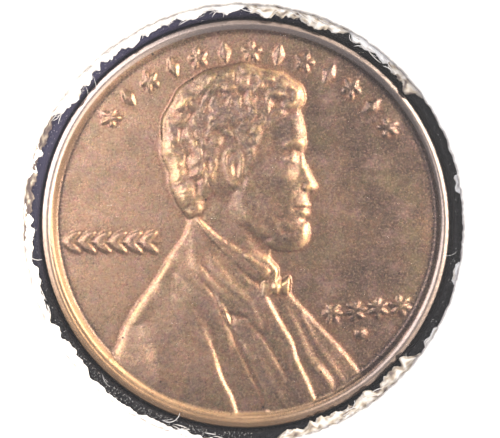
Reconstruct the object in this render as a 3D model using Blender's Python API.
"""A round coin capsule: clear base and lid shells, a foam ring, a card mat and the coin they hold.

Lengths below are in millimetres and become metres when a mesh is made. The origin is the centre of
the face that the closed capsule rests on. +Z points up, out of the coin's front, and +Y points to
the coin's twelve o'clock. Every piece is round about the Z axis and slides along it when the
capsule is opened, so each object's own origin lies on that axis, at the height of its underside.
"""

import math

import bmesh
import bpy
from mathutils import Vector

MM = 0.001
SEGMENTS = 72
MERGE_DISTANCE = 1e-7
SHARP_ANGLE = math.radians(35)

# the coin: a small one-cent piece
COIN_DIAMETER = 19.05
COIN_THICKNESS = 1.52
COIN_FIELD_DEPTH = 0.22
COIN_RIM_FLAT = 0.33
COIN_RIM_SLOPE = 0.5
COIN_EDGE_BREAK = 0.07

# clearances between pieces
SEAT_GAP = 0.05
SIDE_GAP = 0.1
SNAP_GAP = 0.06

# the two shells
CAPSULE_DIAMETER = 37.5
WINDOW_THICKNESS = 1.2
CAVITY_RADIUS = 15.8
SPIGOT_THICKNESS = 0.8
CORNER_RADIUS = 0.9
CORNER_STEPS = 4
EDGE_BREAK = 0.2
PARTING_HEIGHT = 2.6
PARTING_GAP = 0.1
BEAD_HEIGHT = 3.45
BEAD_REACH = 0.2
BEAD_HALF_WIDTH = 0.22
GROOVE_DEPTH = 0.16
STACK_RECESS_DEPTH = 0.5
STACK_RECESS_RADIUS = 15.9
STACK_SLOPE = 0.2
STACK_RIDGE_OUTER = 15.3
STACK_RIDGE_WIDTH = 1.0
STACK_RIDGE_HEIGHT = 0.45
SPIGOT_TOP_GAP = 0.15

# the notch for a fingernail, across the parting line
NOTCH_WIDTH = 6.0
NOTCH_DEPTH = 0.8
NOTCH_HEIGHT = 0.45

# the inserts
FOAM_THICKNESS = 2.1
FOAM_BORE_GAP = 0.075
FOAM_EDGE_BREAK = 0.15
MAT_THICKNESS = 0.45
MAT_WINDOW_RADIUS = 10.15
MAT_EDGE_BREAK = 0.06

# worked out from the dimensions above
OUTER_RADIUS = CAPSULE_DIAMETER / 2
COIN_RADIUS = COIN_DIAMETER / 2
SPIGOT_RADIUS = CAVITY_RADIUS + SPIGOT_THICKNESS
SKIRT_RADIUS = SPIGOT_RADIUS + BEAD_REACH + SNAP_GAP
FLOOR = STACK_RECESS_DEPTH + WINDOW_THICKNESS
FOAM_SEAT = FLOOR + SEAT_GAP
FOAM_OUTER_RADIUS = CAVITY_RADIUS - SIDE_GAP
FOAM_BORE_RADIUS = COIN_RADIUS + FOAM_BORE_GAP
COIN_SEAT = FOAM_SEAT + (FOAM_THICKNESS - COIN_THICKNESS) / 2
MAT_SEAT = FOAM_SEAT + FOAM_THICKNESS + SEAT_GAP
MAT_OUTER_RADIUS = CAVITY_RADIUS - SIDE_GAP
LID_CEILING = MAT_SEAT + MAT_THICKNESS + SEAT_GAP
LID_SEAT = PARTING_HEIGHT + PARTING_GAP
SPIGOT_TOP = LID_CEILING - SPIGOT_TOP_GAP


def clear_scene():
    """Removes every object that is already in the scene."""
    for old in list(bpy.data.objects):
        bpy.data.objects.remove(old, do_unlink=True)


def material(name, color, roughness, metallic=0.0, alpha=1.0):
    """A plain Principled material."""
    made = bpy.data.materials.new(name)
    made.use_nodes = True
    shader = made.node_tree.nodes["Principled BSDF"]
    shader.inputs["Base Color"].default_value = (*color, 1.0)
    shader.inputs["Roughness"].default_value = roughness
    shader.inputs["Metallic"].default_value = metallic
    shader.inputs["Alpha"].default_value = alpha
    made.diffuse_color = (*color, alpha)
    return made


def arc(center, radius, start, end, steps):
    """Points on an arc in the outline's plane, from start to end in degrees, both ends included."""
    points = []
    for step in range(steps + 1):
        angle = math.radians(start + (end - start) * step / steps)
        points.append((center[0] + radius * math.cos(angle), center[1] + radius * math.sin(angle)))
    return points


def turned(name, outline, seat, holder, finish, ring=False):
    """Turns an outline of (radius, height) points about the Z axis into one closed solid.

    The outline runs outwards along the top, down the outer side and back along the underside. A
    ring's outline closes on itself; any other outline starts and ends on the axis.
    """
    shape = bmesh.new()
    corners = [shape.verts.new((radius * MM, 0, height * MM)) for radius, height in outline]
    edges = [shape.edges.new(pair) for pair in zip(corners, corners[1:])]
    if ring:
        edges.append(shape.edges.new((corners[-1], corners[0])))
    bmesh.ops.spin(
        shape,
        geom=corners + edges,
        cent=(0, 0, 0),
        axis=(0, 0, 1),
        angle=math.tau,
        steps=SEGMENTS,
        use_merge=True,
    )
    bmesh.ops.remove_doubles(shape, verts=shape.verts, dist=MERGE_DISTANCE)
    bmesh.ops.recalc_face_normals(shape, faces=shape.faces)
    mesh = bpy.data.meshes.new(name)
    shape.to_mesh(mesh)
    shape.free()
    mesh.shade_smooth()
    mesh.set_sharp_from_angle(angle=SHARP_ANGLE)
    mesh.materials.append(finish)
    piece = bpy.data.objects.new(name, mesh)
    piece.location = (0, 0, seat * MM)
    piece.parent = holder
    bpy.context.collection.objects.link(piece)
    return piece


def cut_notch(piece, low, high):
    """Cuts the fingernail notch out of a shell's front edge, between two heights above its seat."""
    shape = bmesh.new()
    bmesh.ops.create_cube(shape, size=1)
    size = Vector((NOTCH_WIDTH, 2 * NOTCH_DEPTH, high - low)) * MM
    bmesh.ops.scale(shape, verts=shape.verts, vec=size)
    middle = Vector((0, -OUTER_RADIUS, (low + high) / 2)) * MM
    bmesh.ops.translate(shape, verts=shape.verts, vec=middle)
    mesh = bpy.data.meshes.new(piece.name + "_notch_cutter")
    shape.to_mesh(mesh)
    shape.free()
    cutter = bpy.data.objects.new(piece.name + "_notch_cutter", mesh)
    cutter.hide_render = True
    cutter.display_type = "WIRE"
    cutter.parent = piece
    bpy.context.collection.objects.link(cutter)
    cut = piece.modifiers.new("notch", "BOOLEAN")
    cut.operation = "DIFFERENCE"
    cut.object = cutter


def base_shell(holder, finish):
    """The lower shell: foot, window, outer wall and the spigot that the lid snaps over."""
    inner_foot = STACK_RECESS_RADIUS - STACK_SLOPE
    bead_radius = SPIGOT_RADIUS + BEAD_REACH
    corner = (OUTER_RADIUS - CORNER_RADIUS, CORNER_RADIUS)
    outline = [
        (0, FLOOR),
        (CAVITY_RADIUS, FLOOR),
        (CAVITY_RADIUS, SPIGOT_TOP - EDGE_BREAK),
        (CAVITY_RADIUS + EDGE_BREAK, SPIGOT_TOP),
        (SPIGOT_RADIUS - EDGE_BREAK, SPIGOT_TOP),
        (SPIGOT_RADIUS, SPIGOT_TOP - EDGE_BREAK),
        (SPIGOT_RADIUS, BEAD_HEIGHT + BEAD_HALF_WIDTH),
        (bead_radius, BEAD_HEIGHT),
        (SPIGOT_RADIUS, BEAD_HEIGHT - BEAD_HALF_WIDTH),
        (SPIGOT_RADIUS, PARTING_HEIGHT),
        (OUTER_RADIUS - EDGE_BREAK, PARTING_HEIGHT),
        (OUTER_RADIUS, PARTING_HEIGHT - EDGE_BREAK),
    ]
    outline += arc(corner, CORNER_RADIUS, 0, -90, CORNER_STEPS)
    outline += [(STACK_RECESS_RADIUS, 0), (inner_foot, STACK_RECESS_DEPTH), (0, STACK_RECESS_DEPTH)]
    piece = turned("base_shell", outline, 0, holder, finish)
    cut_notch(piece, PARTING_HEIGHT - NOTCH_HEIGHT, PARTING_HEIGHT + NOTCH_HEIGHT)
    return piece


def lid_shell(holder, finish):
    """The upper shell: window, stacking ridge and the skirt that drops over the base's spigot."""
    top = LID_CEILING + WINDOW_THICKNESS - LID_SEAT
    ceiling = LID_CEILING - LID_SEAT
    groove = BEAD_HEIGHT - LID_SEAT
    ridge_inner = STACK_RIDGE_OUTER - STACK_RIDGE_WIDTH
    ridge_top = top + STACK_RIDGE_HEIGHT
    corner = (OUTER_RADIUS - CORNER_RADIUS, top - CORNER_RADIUS)
    outline = [
        (0, top),
        (ridge_inner, top),
        (ridge_inner + STACK_SLOPE, ridge_top),
        (STACK_RIDGE_OUTER - STACK_SLOPE, ridge_top),
        (STACK_RIDGE_OUTER, top),
    ]
    outline += arc(corner, CORNER_RADIUS, 90, 0, CORNER_STEPS)
    outline += [
        (OUTER_RADIUS, EDGE_BREAK),
        (OUTER_RADIUS - EDGE_BREAK, 0),
        (SKIRT_RADIUS + EDGE_BREAK, 0),
        (SKIRT_RADIUS, EDGE_BREAK),
        (SKIRT_RADIUS, groove - BEAD_HALF_WIDTH),
        (SKIRT_RADIUS + GROOVE_DEPTH, groove),
        (SKIRT_RADIUS, groove + BEAD_HALF_WIDTH),
        (SKIRT_RADIUS, ceiling),
        (0, ceiling),
    ]
    piece = turned("lid_shell", outline, LID_SEAT, holder, finish)
    cut_notch(piece, -NOTCH_HEIGHT, NOTCH_HEIGHT)
    return piece


def broken_edge_ring(inner, outer, thickness, edge_break):
    """The outline of a flat ring whose four edges are slightly broken."""
    return [
        (inner + edge_break, thickness),
        (outer - edge_break, thickness),
        (outer, thickness - edge_break),
        (outer, edge_break),
        (outer - edge_break, 0),
        (inner + edge_break, 0),
        (inner, edge_break),
        (inner, thickness - edge_break),
    ]


def foam_ring(holder, finish):
    """The soft ring that centres the coin and fills the cavity."""
    outline = broken_edge_ring(FOAM_BORE_RADIUS, FOAM_OUTER_RADIUS, FOAM_THICKNESS, FOAM_EDGE_BREAK)
    return turned("foam_ring", outline, FOAM_SEAT, holder, finish, ring=True)


def card_mat(holder, finish):
    """The white card that frames the coin, between the foam and the lid."""
    outline = broken_edge_ring(MAT_WINDOW_RADIUS, MAT_OUTER_RADIUS, MAT_THICKNESS, MAT_EDGE_BREAK)
    return turned("card_mat", outline, MAT_SEAT, holder, finish, ring=True)


def coin(holder, finish):
    """The coin: a disc with a raised rim on both faces."""
    field = COIN_THICKNESS - COIN_FIELD_DEPTH
    rim_outer = COIN_RADIUS - COIN_EDGE_BREAK
    rim_inner = rim_outer - COIN_RIM_FLAT
    field_radius = rim_inner - COIN_RIM_SLOPE
    upper = [
        (0, field),
        (field_radius, field),
        (rim_inner, COIN_THICKNESS),
        (rim_outer, COIN_THICKNESS),
        (COIN_RADIUS, COIN_THICKNESS - COIN_EDGE_BREAK),
    ]
    lower = [(radius, COIN_THICKNESS - height) for radius, height in reversed(upper)]
    return turned("coin", upper + lower, COIN_SEAT, holder, finish)


def build():
    """Clears the scene and makes the five pieces around one axis."""
    clear_scene()
    axis = bpy.data.objects.new("capsule_axis", None)
    axis.empty_display_size = CAPSULE_DIAMETER * MM
    bpy.context.collection.objects.link(axis)
    clear_plastic = material("clear_plastic", (0.93, 0.95, 0.96), 0.05, alpha=0.3)
    black_foam = material("black_foam", (0.018, 0.017, 0.02), 0.9)
    white_card = material("white_card", (0.9, 0.89, 0.86), 0.85)
    copper = material("toned_copper", (0.48, 0.31, 0.22), 0.38, metallic=1.0)
    base_shell(axis, clear_plastic)
    foam_ring(axis, black_foam)
    coin(axis, copper)
    card_mat(axis, white_card)
    lid_shell(axis, clear_plastic)


build()
